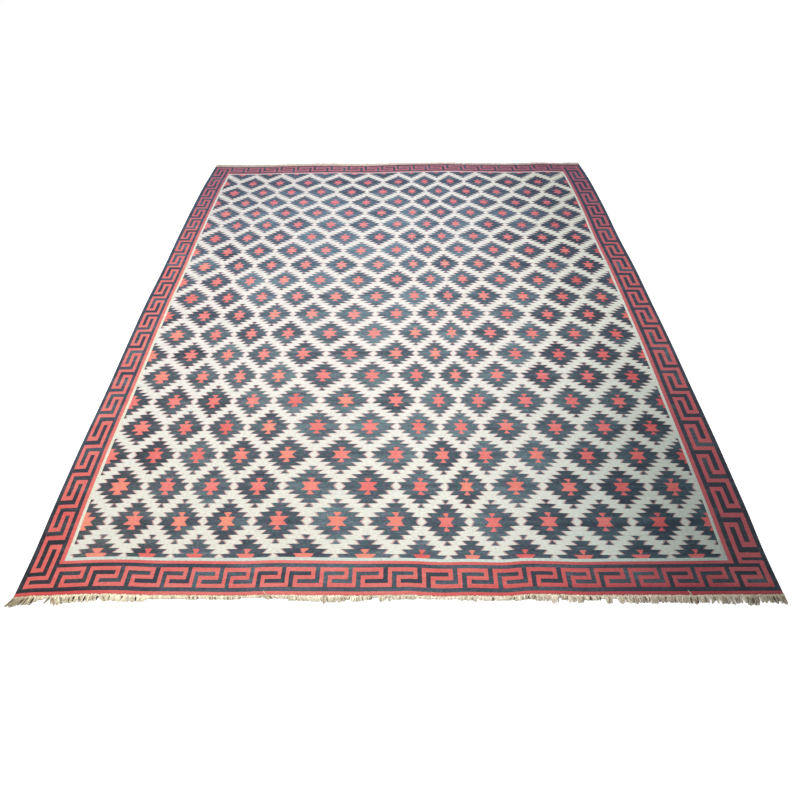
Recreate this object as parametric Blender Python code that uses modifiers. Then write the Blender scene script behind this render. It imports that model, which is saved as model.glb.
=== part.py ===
"""Dhurrie rug: a flat-woven cotton cloth with its warp ends left as a fringe across both short ends.

The cloth is one solid, woven in one piece with its borders. At each short end a narrow strip stands
for the cream heading where the warps leave the cloth, and the fringe locks grow out of that strip.
X runs across the rug, Y along it from the near end to the far end, and Z is up from the floor.
"""

import math
import random

import bmesh
import bpy
from mathutils import Vector

# Driving dimensions, in metres
RUG_WIDTH = 2.44
RUG_LENGTH = 3.05
CLOTH_THICK = 0.004
HEADING_WIDTH = 0.005
HEADING_THICK = 0.003
PART_GAP = 0.0003

# Cloth grid: cells across and along
CELLS_ACROSS = 96
CELLS_ALONG = 60

# Pucker in the near end: a short soft ridge that runs in from the edge
PUCKER_X = 0.030
PUCKER_HEIGHT = 0.005
PUCKER_HALF_WIDTH = 0.030
PUCKER_REACH = 0.160

# Fringe locks: how many at each end, and their root width as a share of their spacing
NEAR_LOCKS = 180
FAR_LOCKS = 118
ROOT_SHARE = 0.70
TIP_SHARE = 0.60
TIP_THICK = 0.0014
LEAN_JITTER = 0.07
LENGTH_JITTER = 0.12
SHORTEST_LOCK = 0.004

MM = 0.001

# How far each side edge bows out past a straight line, at shares of the length from the near end
SIDE_BOW_MM = (
    # share, left, right
    (0.00, 2, 2),
    (0.05, 2, 4),
    (0.10, 8, 13),
    (0.20, 16, 24),
    (0.30, 18, 30),
    (0.40, 25, 37),
    (0.50, 30, 39),
    (0.60, 26, 41),
    (0.70, 28, 34),
    (0.80, 26, 35),
    (0.90, 20, 30),
    (0.96, 9, 20),
    (1.00, 2, 8),
)

# How far each short end of the cloth bows out past a straight line, at shares of the width from the left
END_BOW_MM = (
    # share, near, far
    (0.00, 4, -5),
    (0.02, -1, -8),
    (0.05, -3, -10),
    (0.09, -7, -11),
    (0.13, -7, -9),
    (0.17, -3, -2),
    (0.22, -2, 3),
    (0.29, 0, 9),
    (0.33, -2, 8),
    (0.37, 0, 5),
    (0.41, 1, 4),
    (0.45, 2, 10),
    (0.48, 1, 16),
    (0.52, 2, 23),
    (0.56, 6, 26),
    (0.59, 4, 28),
    (0.64, 6, 31),
    (0.67, 0, 26),
    (0.71, 1, 21),
    (0.74, 4, 19),
    (0.79, 4, 15),
    (0.85, 5, 19),
    (0.89, 5, 28),
    (0.94, 4, 22),
    (1.00, 4, 20),
)

# Fringe at the near end: length past the heading and sideways lean, at shares of the width from the left
NEAR_FRINGE = (
    # share, length mm, lean
    (0.000, 29, -0.50),
    (0.020, 24, -0.60),
    (0.032, 19, -0.80),
    (0.038, 5, 0.00),
    (0.050, 28, 0.25),
    (0.065, 25, 0.10),
    (0.110, 22, 0.00),
    (0.165, 19, 0.00),
    (0.178, 8, 0.00),
    (0.288, 8, 0.00),
    (0.300, 4, 0.00),
    (0.318, 4, 0.00),
    (0.326, 9, 0.10),
    (0.348, 7, 0.00),
    (0.360, 13, 0.00),
    (0.395, 17, 0.00),
    (0.405, 20, 0.00),
    (0.422, 18, 0.00),
    (0.432, 9, 0.00),
    (0.447, 15, 0.00),
    (0.466, 4, 0.00),
    (0.477, 14, 0.05),
    (0.490, 12, 0.00),
    (0.505, 7, 0.00),
    (0.570, 5, 0.00),
    (0.590, 10, 0.00),
    (0.650, 10, 0.00),
    (0.684, 16, 0.00),
    (0.700, 25, 0.00),
    (0.708, 9, 0.00),
    (0.726, 21, 0.00),
    (0.738, 20, 0.00),
    (0.760, 8, 0.00),
    (0.772, 22, 0.00),
    (0.780, 6, 0.00),
    (0.792, 23, 0.00),
    (0.850, 21, 0.00),
    (0.875, 25, 0.00),
    (0.905, 21, 0.00),
    (0.930, 26, 0.00),
    (0.940, 15, 0.00),
    (0.962, 32, -0.20),
    (0.976, 22, -0.10),
    (0.990, 17, 0.00),
    (1.000, 30, -0.15),
)

# Fringe at the far end, read the same way
FAR_FRINGE = (
    # share, length mm, lean
    (0.00, 14, 0.20),
    (0.10, 22, 0.10),
    (0.30, 18, 0.00),
    (0.50, 14, 0.00),
    (0.65, 12, -0.05),
    (0.80, 20, 0.00),
    (0.92, 24, -0.10),
    (1.00, 20, -0.15),
)


def from_table(table, share, column):
    """A value from a table at a share of the way, on a smooth curve through the rows."""
    last = len(table) - 1
    row = max(r for r in range(last) if table[r][0] <= share or r == 0)
    before, low, high, after = (table[min(max(row + k, 0), last)] for k in (-1, 0, 1, 2))
    span = high[0] - low[0]
    part = min(max((share - low[0]) / span, 0.0), 1.0)
    rise_low = (high[column] - before[column]) / (high[0] - before[0]) * span
    rise_high = (after[column] - low[column]) / (after[0] - low[0]) * span
    square, cube = part**2, part**3
    return (
        low[column] * (2 * cube - 3 * square + 1)
        + rise_low * (cube - 2 * square + part)
        + high[column] * (3 * square - 2 * cube)
        + rise_high * (cube - square)
    )


def pucker_lift(x, inward):
    """Height of the pucker at x, where inward is the distance in from the near end."""
    across = math.exp(-(((x - PUCKER_X) / PUCKER_HALF_WIDTH) ** 2) * 2)
    fade = max(0.0, 1 - max(inward, 0.0) / PUCKER_REACH)
    lift = PUCKER_HEIGHT * across * fade * fade
    return lift if lift > 0.02 * MM else 0.0


def cloth_point(s, t):
    """Where the cloth's share s across and share t along lie, on the underside."""
    left = from_table(SIDE_BOW_MM, t, 1) * MM
    right = from_table(SIDE_BOW_MM, t, 2) * MM
    near = from_table(END_BOW_MM, s, 1) * MM
    far = from_table(END_BOW_MM, s, 2) * MM
    x = (s - 0.5) * RUG_WIDTH - (1 - s) * left + s * right
    y = (t - 0.5) * RUG_LENGTH - (1 - t) * near + t * far
    return Vector((x, y, pucker_lift(x, t * RUG_LENGTH)))


def edge_point(s, t):
    """A point on a short end's edge, on the straight runs between the cloth grid's own points."""
    cell = min(int(s * CELLS_ACROSS), CELLS_ACROSS - 1)
    part = s * CELLS_ACROSS - cell
    a = cloth_point(cell / CELLS_ACROSS, t)
    b = cloth_point((cell + 1) / CELLS_ACROSS, t)
    return a.lerp(b, part)


def clear_scene():
    for obj in list(bpy.data.objects):
        bpy.data.objects.remove(obj, do_unlink=True)


def principled(name, colour, roughness):
    material = bpy.data.materials.new(name)
    material.use_nodes = True
    shader = material.node_tree.nodes["Principled BSDF"]
    shader.inputs["Base Color"].default_value = (*colour, 1.0)
    shader.inputs["Roughness"].default_value = roughness
    shader.inputs["Metallic"].default_value = 0.0
    return material


def object_from(bm, name, material, collection):
    mesh = bpy.data.meshes.new(name)
    bm.to_mesh(mesh)
    bm.free()
    mesh.materials.append(material)
    obj = bpy.data.objects.new(name, mesh)
    collection.objects.link(obj)
    return obj


def make_cloth(collection, material):
    """The woven cloth: a grid laid in the rug's outline and thickened upwards from the floor."""
    bm = bmesh.new()
    bmesh.ops.create_grid(bm, x_segments=CELLS_ACROSS, y_segments=CELLS_ALONG, size=0.5)
    for vert in bm.verts:
        vert.co = cloth_point(vert.co.x + 0.5, vert.co.y + 0.5)
    cloth = object_from(bm, "rug", material, collection)
    solidify = cloth.modifiers.new("thickness", "SOLIDIFY")
    solidify.thickness = CLOTH_THICK
    solidify.offset = 1
    return cloth


def strip_stations(count):
    """Shares of the width where the heading strip is divided: its two ends and both sides of each root."""
    stations = [0.0]
    for lock in range(count):
        middle = (lock + 0.5) / count
        half = ROOT_SHARE / count / 2
        stations += [middle - half, middle + half]
    return stations + [1.0]


def make_strip(bm, stations, end):
    """The heading strip as a closed bar along one short end. end is -1 near and 1 far."""
    t = 0.0 if end < 0 else 1.0
    bmesh.ops.create_grid(bm, x_segments=len(stations) - 1, y_segments=1, size=0.5)
    for vert in bm.verts:
        station = round((vert.co.x + 0.5) * (len(stations) - 1))
        outer = vert.co.y > 0
        vert.co = edge_point(stations[station], t)
        vert.co.y += end * (PART_GAP + (HEADING_WIDTH if outer else 0.0))
    raised = bmesh.ops.extrude_face_region(bm, geom=bm.faces[:])["geom"]
    for item in raised:
        if isinstance(item, bmesh.types.BMVert):
            item.co.z += HEADING_THICK
    bmesh.ops.recalc_face_normals(bm, faces=bm.faces[:])


def root_faces(bm, stations, end):
    """The strip's outward faces that a lock grows from, in order from the left."""
    outward = [face for face in bm.faces if face.normal.y * end > 0.9]
    outward.sort(key=lambda face: face.calc_center_median().x)
    return outward[1 : len(stations) - 1 : 2]


def grow_lock(bm, root, end, length, lean):
    """One lock: its root face drawn out in steps, level on the floor, narrower and thinner to its tip."""
    face = root
    start = root.calc_center_median()
    root_lift = min(vert.co.z for vert in root.verts)
    half_root = max(abs(vert.co.x - start.x) for vert in root.verts)
    for reach in (0.5, 1.0):
        face = bmesh.ops.extrude_discrete_faces(bm, faces=[face])["faces"][0]
        centre = face.calc_center_median()
        corners = [(vert, vert.co.x > centre.x, vert.co.z > centre.z) for vert in face.verts]
        middle = start.x + lean * length * reach
        half = half_root * (1 + (TIP_SHARE - 1) * reach)
        thick = HEADING_THICK + (TIP_THICK - HEADING_THICK) * reach
        for vert, right, top in corners:
            vert.co.x = middle + (half if right else -half)
            vert.co.y = start.y + end * length * reach
            vert.co.z = root_lift * (1 - reach) + (thick if top else 0.0)


def make_fringe(name, end, count, table, seed, collection, material):
    """The heading strip of one short end with all its locks, as one solid."""
    rng = random.Random(seed)
    stations = strip_stations(count)
    bm = bmesh.new()
    make_strip(bm, stations, end)
    for lock, root in enumerate(root_faces(bm, stations, end)):
        share = (lock + 0.5) / count
        length = max(from_table(table, share, 1) * MM, SHORTEST_LOCK)
        length *= 1 + rng.uniform(-LENGTH_JITTER, LENGTH_JITTER)
        lean = from_table(table, share, 2) + rng.uniform(-LEAN_JITTER, LEAN_JITTER)
        grow_lock(bm, root, end, length, lean)
    bmesh.ops.recalc_face_normals(bm, faces=bm.faces[:])
    return object_from(bm, name, material, collection)


def centre_on_floor(objects):
    """Moves all the pieces so that the middle of their common box stands over the origin."""
    corners = [obj.matrix_world @ vert.co for obj in objects for vert in obj.data.vertices]
    middle_x = (min(c.x for c in corners) + max(c.x for c in corners)) / 2
    middle_y = (min(c.y for c in corners) + max(c.y for c in corners)) / 2
    for obj in objects:
        obj.location = (-middle_x, -middle_y, 0.0)


def main():
    clear_scene()
    collection = bpy.data.collections.new("dhurrie_rug")
    bpy.context.scene.collection.children.link(collection)
    navy = principled("woven_cotton", (0.075, 0.105, 0.150), 0.90)
    cream = principled("fringe_cotton", (0.68, 0.62, 0.48), 0.92)
    pieces = [
        make_cloth(collection, navy),
        make_fringe("fringe_near", -1, NEAR_LOCKS, NEAR_FRINGE, 11, collection, cream),
        make_fringe("fringe_far", 1, FAR_LOCKS, FAR_FRINGE, 12, collection, cream),
    ]
    centre_on_floor(pieces)


main()
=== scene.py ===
"""Looks of the dhurrie rug: the woven cloth with its pattern, and the heading and fringe at both ends.

The cloth is one closed mesh on a grid whose lines follow the woven bands, so that each face lies in
one band. Its material draws the serrated diamonds of the field and the hooks of the key border from
two UV maps that count the pattern's own repeats. X runs across the rug, Y along it, Z up.
"""

import math
import random
from collections import namedtuple
from types import SimpleNamespace

import bpy
from mathutils import Euler, Matrix, Vector, noise


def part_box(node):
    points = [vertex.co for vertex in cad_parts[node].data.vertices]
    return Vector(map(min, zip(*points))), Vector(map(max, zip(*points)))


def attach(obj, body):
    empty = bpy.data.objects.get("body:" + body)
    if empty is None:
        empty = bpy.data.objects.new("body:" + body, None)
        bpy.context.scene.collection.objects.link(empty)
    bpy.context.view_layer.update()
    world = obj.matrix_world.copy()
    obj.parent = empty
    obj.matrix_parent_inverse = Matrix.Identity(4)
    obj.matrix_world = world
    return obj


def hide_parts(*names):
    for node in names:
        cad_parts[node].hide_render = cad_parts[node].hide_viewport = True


MM = 0.001

# Sizes of the rug before its edges bow, as in the solids
RUG_WIDTH = 2.44
RUG_LENGTH = 3.05
CLOTH_THICK = 0.004
HEADING_WIDTH = 0.005
PART_GAP = 0.0003

# How far each side edge bows out past a straight line, at shares of the length from the near end
SIDE_BOW_MM = (
    # share, left, right
    (0.00, 2, 2),
    (0.05, 2, 4),
    (0.10, 8, 13),
    (0.20, 16, 24),
    (0.30, 18, 30),
    (0.40, 25, 37),
    (0.50, 30, 39),
    (0.60, 26, 41),
    (0.70, 28, 34),
    (0.80, 26, 35),
    (0.90, 20, 30),
    (0.96, 9, 20),
    (1.00, 2, 8),
)

# How far each short end of the cloth bows out past a straight line, at shares of the width from the left
END_BOW_MM = (
    # share, near, far
    (0.00, 4, -5),
    (0.02, -1, -8),
    (0.05, -3, -10),
    (0.09, -7, -11),
    (0.13, -7, -9),
    (0.17, -3, -2),
    (0.22, -2, 3),
    (0.29, 0, 9),
    (0.33, -2, 8),
    (0.37, 0, 5),
    (0.41, 1, 4),
    (0.45, 2, 10),
    (0.48, 1, 16),
    (0.52, 2, 23),
    (0.56, 6, 26),
    (0.59, 4, 28),
    (0.64, 6, 31),
    (0.67, 0, 26),
    (0.71, 1, 21),
    (0.74, 4, 19),
    (0.79, 4, 15),
    (0.85, 5, 19),
    (0.89, 5, 28),
    (0.94, 4, 22),
    (1.00, 4, 20),
)

# Places in the pattern are counted in ten-thousandths of the rug's width or length
PARTS = 10000

# Woven bands of the border from the outside in: what each is, and its width in parts of the rug's width
# at the two sides, and of its length at the two ends. The key is five stripes wide.
SIDE_BANDS = (
    # band, left, right
    ("dark", 82, 68),
    ("key", 51, 66),
    ("key", 61, 76),
    ("key", 55, 63),
    ("key", 59, 72),
    ("key", 54, 62),
    ("dark", 55, 70),
    ("red", 57, 64),
    ("cream", 44, 44),
)
END_BANDS = (
    # band, near, far
    ("red", 40, 34),
    ("dark", 48, 43),
    ("key", 44, 44),
    ("key", 46, 37),
    ("key", 43, 45),
    ("key", 45, 37),
    ("key", 46, 50),
    ("dark", 43, 40),
    ("red", 35, 36),
    ("cream", 36, 32),
)

# Where each hook of the key starts, in parts of the width at the two ends and of the length at the sides
KEY_STARTS = {
    "near": (
        465, 905, 1375, 1852, 2273, 2705, 3108, 3532, 3994, 4423, 4902, 5351, 5830, 6300, 6752, 7215, 7653,
        8113, 8560, 9013, 9478,
    ),
    "far": (
        470, 909, 1350, 1809, 2254, 2704, 3164, 3625, 4091, 4535, 4970, 5395, 5819, 6313, 6799, 7255, 7715,
        8187, 8685, 9150,
    ),
    "left": (
        243, 715, 1130, 1600, 2040, 2580, 3000, 3450, 3920, 4350, 4780, 5210, 5670, 6110, 6520, 6940, 7350,
        7760, 8180, 8590, 9000, 9480,
    ),
    "right": (
        480, 987, 1470, 1970, 2470, 2960, 3430, 3940, 4400, 4900, 5380, 5860, 6330, 6790, 7320, 7760, 8240,
        8770, 9260,
    ),
}

# One hook pair of the key: its dark bars along the border, from 0 to 1, and in stripes from its outer edge
KEY_BARS = (
    # start, end, low stripe, high stripe, which hook
    (0.000, 0.132, 0, 4, 0),
    (0.000, 0.630, 3, 4, 0),
    (0.752, 0.884, 1, 5, 1),
    (0.255, 0.884, 1, 2, 1),
)

# Corners, a letter for each band: D dark, R red, C cream, K the end's own key running on. Rows go from
# the outside in, and so do the letters, which start at the side edge.
CORNER_PLACES = (("near", "left"), ("near", "right"), ("far", "left"), ("far", "right"))
CORNER_ROWS = (
    "RRRRRRRRR RRRRRRRRR RRRRRRRRR RRRRRRRRR",
    "DDDDDDDDD DDDDDDDDD DDDDDDDDD DDDDDDDDD",
    "DRRRRRRRD DRKKKKKKK DRRRRRRRD DRRRRRRRK",
    "DRDDDDDRD DRKKKKKKK DRDDDDDRD DRDDDDRRK",
    "DRRRRRDRD DRKKKKKKK DRDRRRDRD DRRRRRDRK",
    "DDDDDRDRD DRKKKKKKK DRDRDRDRD DRDDDRDRK",
    "DRRRDRDRR DRKKKKKKK DRDRDRDRR DRRRRRDRK",
    "DRDRDRDDD DRDDDDDDD DRDRDRDRD DRDDDDDRD",
    "DRDRDRDRR DRRRRRDRR DRDRDRDRR DRDDDDDRR",
    "DRDRDRDRC DDDDDRDRC DRDRDRDRC DRDRRRDRC",
)
CORNERS = dict(zip(CORNER_PLACES, zip(*(row.split() for row in CORNER_ROWS))))

# Field: where its rows of diamonds have their middles, in parts of the length
ROWS = (
    413, 884, 1367, 1844, 2305, 2783, 3273, 3734, 4210, 4683, 5153, 5613, 6073, 6534, 6985, 7440, 7885,
    8313, 8748, 9172, 9602,
)

# How far the rows stray from that along the rug, at shares of the width
STRAY_AT = (0.06, 0.14, 0.28, 0.38, 0.55, 0.70, 0.84, 0.94)
ROW_STRAY_MM = (
    # share of the length, then the stray at each of those places
    (0.016, -1.0, 0.5, -1.7, 0.4, -0.3, -1.7, 0.0, -1.4),
    (0.031, 1.3, 1.7, -0.3, 1.2, -1.0, -3.2, -1.7, -1.3),
    (0.045, 2.0, 2.2, 1.3, 2.8, -1.7, -4.5, -2.3, -1.5),
    (0.060, 2, 2, 2, 3, -2, -4, -3, -4),
    (0.30, 1, 2, 6, 9, 4, 0, -3, -11),
    (0.50, -4, -1, 7, 6, 4, 0, -4, -17),
    (0.65, 0, 3, 9, 8, 5, 4, -6, -14),
    (0.80, 8, 8, 6, 7, 1, -5, -11, -23),
    (0.95, 2, 2, 0, 3, -2, 2, 0, -2),
)

# Where its columns have their middles, in parts of the width, at places along the rug
COLUMNS = (
    # share of the length, then the columns from the left
    (0.05, 506, 1225, 1878, 2538, 3272, 4109, 4949, 5662, 6324, 7123, 7908, 8691, 9412),
    (0.20, 493, 1218, 1876, 2536, 3250, 4096, 4948, 5662, 6314, 7118, 7895, 8681, 9405),
    (0.35, 497, 1240, 1896, 2536, 3241, 4094, 4936, 5644, 6302, 7096, 7873, 8677, 9417),
    (0.50, 508, 1248, 1917, 2596, 3326, 4135, 4959, 5654, 6303, 7087, 7868, 8667, 9416),
    (0.65, 507, 1246, 1923, 2639, 3392, 4164, 4952, 5637, 6311, 7085, 7866, 8657, 9404),
    (0.80, 516, 1253, 1941, 2667, 3437, 4203, 4994, 5682, 6346, 7101, 7880, 8651, 9407),
    (0.95, 517, 1235, 1921, 2655, 3436, 4208, 5004, 5681, 6336, 7059, 7846, 8618, 9391),
)
LAST_COLUMN = len(COLUMNS[0]) - 2

# Share of the width and length over which the pattern comes to follow its own places in from the edge
EDGE_HOLD = 0.0078

# One diamond in levels from its middle, eight levels to the next row: half widths of the dark diamond and
# of the star in it, by the side of the level towards the middle and by the side away from it
LEVELS_A_ROW = 8
DIAMOND_LEVELS = (
    # dark inside, dark outside, star inside, star outside
    (0.776, 0.944, 0.213, 0.374),
    (0.572, 0.757, 0.042, 0.171),
    (0.357, 0.565, 0.000, 0.000),
    (0.172, 0.360, 0.000, 0.000),
    (0.000, 0.143, 0.000, 0.000),
)
LEVEL_EDGE = 0.0008

# How far the slanted edges blur where two yarns meet, the red outline's place and reach past them, and
# how far into a star its heart begins
EDGE_BLUR = 0.030
OUTLINE_PAST = 0.020
OUTLINE_REACH = 0.060
STAR_HEART = 0.16

# Yarns as linear colours: each one's tones from dark to light, or for the fringe from dark, as soil and
# painted shade, to clean
NAVY_TONES = (
    (0.00, (0.033, 0.040, 0.053)),
    (0.50, (0.066, 0.089, 0.105)),
    (1.00, (0.125, 0.184, 0.198)),
)
CORAL_TONES = (
    (0.00, (0.335, 0.074, 0.088)),
    (0.50, (0.440, 0.088, 0.080)),
    (1.00, (0.520, 0.160, 0.140)),
)
FRINGE_TONES = (
    (0.00, (0.190, 0.158, 0.112)),
    (0.40, (0.460, 0.402, 0.290)),
    (0.75, (0.740, 0.668, 0.520)),
    (1.00, (0.900, 0.840, 0.690)),
)
OUTLINE_RED = (0.300, 0.078, 0.092)
OUTLINE_STRENGTH = 0.62
# The left rim: the selvedge's own grey, lightened as a painted highlight along the rounded edge
SELVEDGE_GREY_AND_HIGHLIGHT = (0.170, 0.170, 0.175)

# Relief of the weave and of the fringe's plied yarn, in metres
RIB_PITCH = 0.0028
BEAD_PITCH = 0.0023
WEAVE_HEIGHT = 0.00035
PLY_HEIGHT = 0.00025

# Grid cells in one column and one row of the field
CELLS_A_COLUMN = 10
CELLS_A_ROW = 8

# Zones that a face of the cloth may lie in, as its material reads them
ZONES = {"field": 0, "cream": 1, "red": 2, "dark": 3, "key": 4, "selvedge": 5}
KEY_ZONE_STEP = 100

# Pucker in the near end, the low waves in which the cloth lies, its rounded rim, and from how many degrees
# an edge of it is sharp
PUCKER_X = 0.030
PUCKER_HEIGHT = 0.005
PUCKER_HALF_WIDTH = 0.030
PUCKER_REACH = 0.160
WAVE_HEIGHT = 0.0018
WAVE_SIZE = 0.42
RIM_DROP = 0.0012
RIM_WIDTH = 0.0020
SHARP_ANGLE = 60

# Heading: cords twined along the edge, and the share of the width by which they stop short at each end
HEADING_CORDS = 3
HEADING_STEPS = 320
HEADING_INSET = 0.0008
CORD_RADIUS = 0.00095

# Fringe: how thick its strands are, how closely they lie, and from where along the end they are felted
STRAND_RADIUS = 0.0012
STRAND_SIDES = 4
STRAND_STEPS = 7
STRAND_PITCH = {"near": 0.00105, "far": 0.0016}
LOCK_WIDTH = 0.0058
FELTED_FROM = 0.42
PILE_HEIGHT = 0.0042

# Locks under the full length in mm sway and rise less, and those under the short one need fewer steps
FULL_LENGTH = 20
SHORT_LENGTH = 9
SHORT_STEPS = 4

# How far chance varies the tufts of the far end, the locks and the strands, each from and to: lengths and
# widths by a factor, shades by what is added, swings in mm
FAR_LENGTHS = (0.85, 1.10)
FAR_SHADES = (-0.2, 0.2)
FAR_TIP_WIDTHS = (0.85, 1.0)
# How dark the painted shadow and dirt after each far tuft is
FAR_GAP_SHADE_AND_DIRT = (0.1, 0.5)
FAR_RED = 0.03
LOCK_LENGTHS = (0.88, 1.03)
LOCK_SHADES = (-0.24, 0.22)
LOCK_SWINGS = (0.3, 1.8)
GAP_LENGTHS = (0.72, 0.92)
STRAND_LENGTHS = (0.86, 1.05)
STRAND_WIDTHS = (0.75, 1.15)
STRAND_SHADES = (-0.14, 0.14)

# Some strands start on the cloth's edge: what share of them, and how far in they may start
OVER_EDGE = {
    # end, share, mm
    "near": (0.30, 0.9),
    "far": (0.65, 10.0),
}

# Tufts of the fringe at the near end from the left: where each ends in parts of the width, its length, and
# in hundredths the share of its width that is left at its tip, its shade from dark to clean as soil and
# painted shade, how dark the painted shadow and dirt in the gap after it is, and how many of its strands
# are red. Last comes how far it leans, if it does.
NEAR_TUFTS = (
    # end, length mm, tip width, shade, gap shade and dirt, red, lean mm
    (40, 22, 120, 14, 60, 0, -18.5),
    (70, 25, 110, 34, 0, 0, -17.5),
    (100, 31, 70, 30, 20, 0, -15.5),
    (140, 28, 110, 38, 0, 0, -17),
    (170, 25, 100, 42, 40, 0, -18),
    (214, 26, 90, 36, 90, 0, -12),
    (240, 26, 110, 46, 0, 0, -8),
    (278, 26.5, 90, 58, 100, 0, -4.5),
    (343, 17.5, 70, 66, 10, 0, -5),
    (408, 9, 80, 84, 0, 0, -4),
    (447, 3.2, 100, 84, 0, 0, -3),
    (470, 23.5, 60, 50, 30, 0, -10.5),
    (512, 26.1, 80, 70, 70, 5, 9),
    (551, 33, 70, 80, 20, 30, 12.5),
    (615, 30, 80, 76, 70, 5, 11),
    (680, 25.7, 95, 84, 55, 0),
    (732, 25.1, 95, 80, 70, 0),
    (784, 24.4, 90, 82, 100, 0),
    (855, 24.1, 90, 88, 100, 0),
    (933, 23.4, 88, 84, 100, 5),
    (1027, 21.7, 90, 86, 60, 0),
    (1088, 20.4, 90, 84, 100, 0),
    (1146, 20, 88, 74, 70, 5, 14.5),
    (1246, 18.4, 92, 84, 100, 0),
    (1315, 19, 98, 90, 35, 3),
    (1405, 19.7, 94, 90, 100, 3),
    (1496, 21.1, 100, 95, 25, 2),
    (1589, 20.4, 94, 92, 100, 3),
    (1716, 18.4, 80, 93, 20, 0),
    (1885, 8.7, 100, 90, 20, 3),
    (2053, 8, 100, 84, 60, 6),
    (2234, 7.7, 100, 86, 30, 4),
    (2281, 9.4, 94, 74, 100, 12),
    (2328, 9.7, 94, 78, 100, 12),
    (2377, 9.7, 94, 76, 100, 12),
    (2481, 5.7, 100, 84, 40, 5),
    (2545, 8, 95, 78, 90, 8),
    (2610, 8.4, 95, 70, 100, 14),
    (2727, 8, 100, 88, 40, 0),
    (2778, 8.4, 95, 70, 100, 14),
    (2843, 8.4, 95, 76, 70, 8),
    (2934, 7.4, 95, 70, 80, 10),
    (3141, 2.7, 100, 88, 15, 3),
    (3206, 3, 100, 54, 60, 55),
    (3310, 10.4, 50, 45, 90, 5, 11.7),
    (3543, 6.4, 100, 84, 40, 5),
    (3672, 13.7, 86, 78, 45, 4),
    (3828, 15.4, 98, 88, 20, 3),
    (3996, 16.7, 98, 86, 30, 6),
    (4061, 21.7, 60, 58, 70, 10),
    (4145, 19, 95, 88, 70, 4),
    (4242, 19.4, 95, 80, 60, 22),
    (4294, 15, 90, 66, 45, 45),
    (4359, 9, 90, 60, 100, 10),
    (4449, 15.7, 92, 88, 60, 5),
    (4514, 15, 90, 74, 65, 14),
    (4579, 12.4, 90, 62, 65, 34),
    (4637, 9.7, 80, 58, 80, 34),
    (4715, 1.3, 100, 74, 0, 5),
    (4819, 16, 50, 68, 25, 3),
    (4838, 3.3, 100, 74, 0, 0),
    (4909, 16, 50, 74, 10, 3),
    (5006, 10.4, 92, 64, 35, 16),
    (5091, 8.4, 92, 64, 60, 14),
    (5201, 8.7, 88, 62, 25, 8),
    (5330, 5, 100, 86, 20, 3),
    (5408, 6.4, 90, 56, 20, 8),
    (5758, 4.7, 100, 88, 15, 2),
    (5848, 10.4, 90, 78, 35, 3),
    (5939, 11, 88, 64, 80, 3),
    (6017, 15, 40, 76, 10, 0),
    (6211, 11.4, 90, 82, 90, 3),
    (6341, 9.4, 92, 76, 35, 5),
    (6438, 9, 92, 74, 70, 4),
    (6490, 9.7, 90, 66, 100, 4),
    (6593, 13.7, 92, 80, 70, 3),
    (6677, 12.4, 90, 62, 90, 6),
    (6762, 12.4, 90, 60, 70, 6),
    (6846, 18, 96, 74, 30, 10),
    (6937, 18.4, 92, 74, 60, 10),
    (7060, 27.7, 25, 86, 60, 0),
    (7092, 5, 100, 54, 60, 0),
    (7176, 14.4, 75, 62, 60, 3),
    (7267, 21.7, 75, 66, 40, 3),
    (7377, 23.4, 70, 74, 60, 3),
    (7481, 13, 90, 58, 100, 5),
    (7597, 13.4, 90, 60, 90, 8),
    (7675, 7.4, 95, 74, 20, 0),
    (7753, 25.1, 50, 62, 25, 18),
    (7817, 6, 100, 74, 10, 0),
    (7927, 24.4, 65, 66, 40, 4),
    (8025, 23.1, 100, 62, 50, 6),
    (8115, 23.4, 100, 58, 50, 10),
    (8174, 21.1, 100, 56, 60, 6),
    (8232, 21.7, 95, 56, 80, 8),
    (8348, 25.1, 85, 58, 55, 4),
    (8452, 20.7, 100, 54, 90, 4),
    (8569, 21.7, 102, 56, 55, 6),
    (8679, 22.4, 100, 54, 65, 5),
    (8763, 24.4, 98, 46, 80, 6),
    (8854, 27.7, 85, 44, 90, 6),
    (8957, 23.4, 102, 50, 60, 8),
    (9067, 23.7, 98, 48, 55, 6),
    (9113, 14.4, 100, 50, 20, 4),
    (9229, 27.1, 100, 52, 45, 5),
    (9346, 29.1, 92, 50, 45, 14),
    (9385, 14.4, 100, 50, 20, 10),
    (9508, 25.7, 95, 50, 60, 10, -0.4),
    (9573, 31.7, 80, 38, 80, 3, -3.9),
    (9637, 35.1, 70, 32, 70, 3, -4.1),
    (9760, 23.7, 100, 48, 50, 8),
    (9840, 24.5, 95, 42, 100, 14, 3),
    (9890, 27, 50, 38, 40, 5, 2),
    (9922, 16, 100, 40, 20, 4, 1),
    (9968, 28.5, 110, 38, 60, 2, 1.5),
    (10000, 28.5, 110, 38, 0, 2, 3),
    (10000, 28.5, 110, 34, 0, 2, 3.5),
)

# Where the tufts start that lap over the one before them, by their number
NEAR_LAPS = {1: 0, 2: 40, 3: 70, 4: 100, 6: 190, 7: 214, 115: 9940, 116: 9968}

# Fringe at the far end, which the photo shows as a thin uneven line
FAR_TUFT_COUNT = 96
FAR_FRINGE = (
    # share, length mm, lean mm, shade
    (0.00, 30, 6.0, 0.62),
    (0.08, 31, 2.0, 0.62),
    (0.14, 31, 0.0, 0.76),
    (0.20, 32, 0.0, 0.96),
    (0.30, 38, 0.0, 0.96),
    (0.50, 29, 0.0, 0.92),
    (0.65, 24, -1.0, 0.84),
    (0.80, 23, 0.0, 0.60),
    (0.92, 22, -2.0, 0.56),
    (1.00, 25, -6.0, 0.60),
)

# Loose warp ends that lie back on the cloth at the near end
LOOSE_ENDS = (
    # shares of the width and length at the tip, share of the width at the edge, how red
    (0.3231, 0.0042, 0.3262, 0.35),
    (0.8769, 0.0050, 0.8797, 0.15),
)

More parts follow.
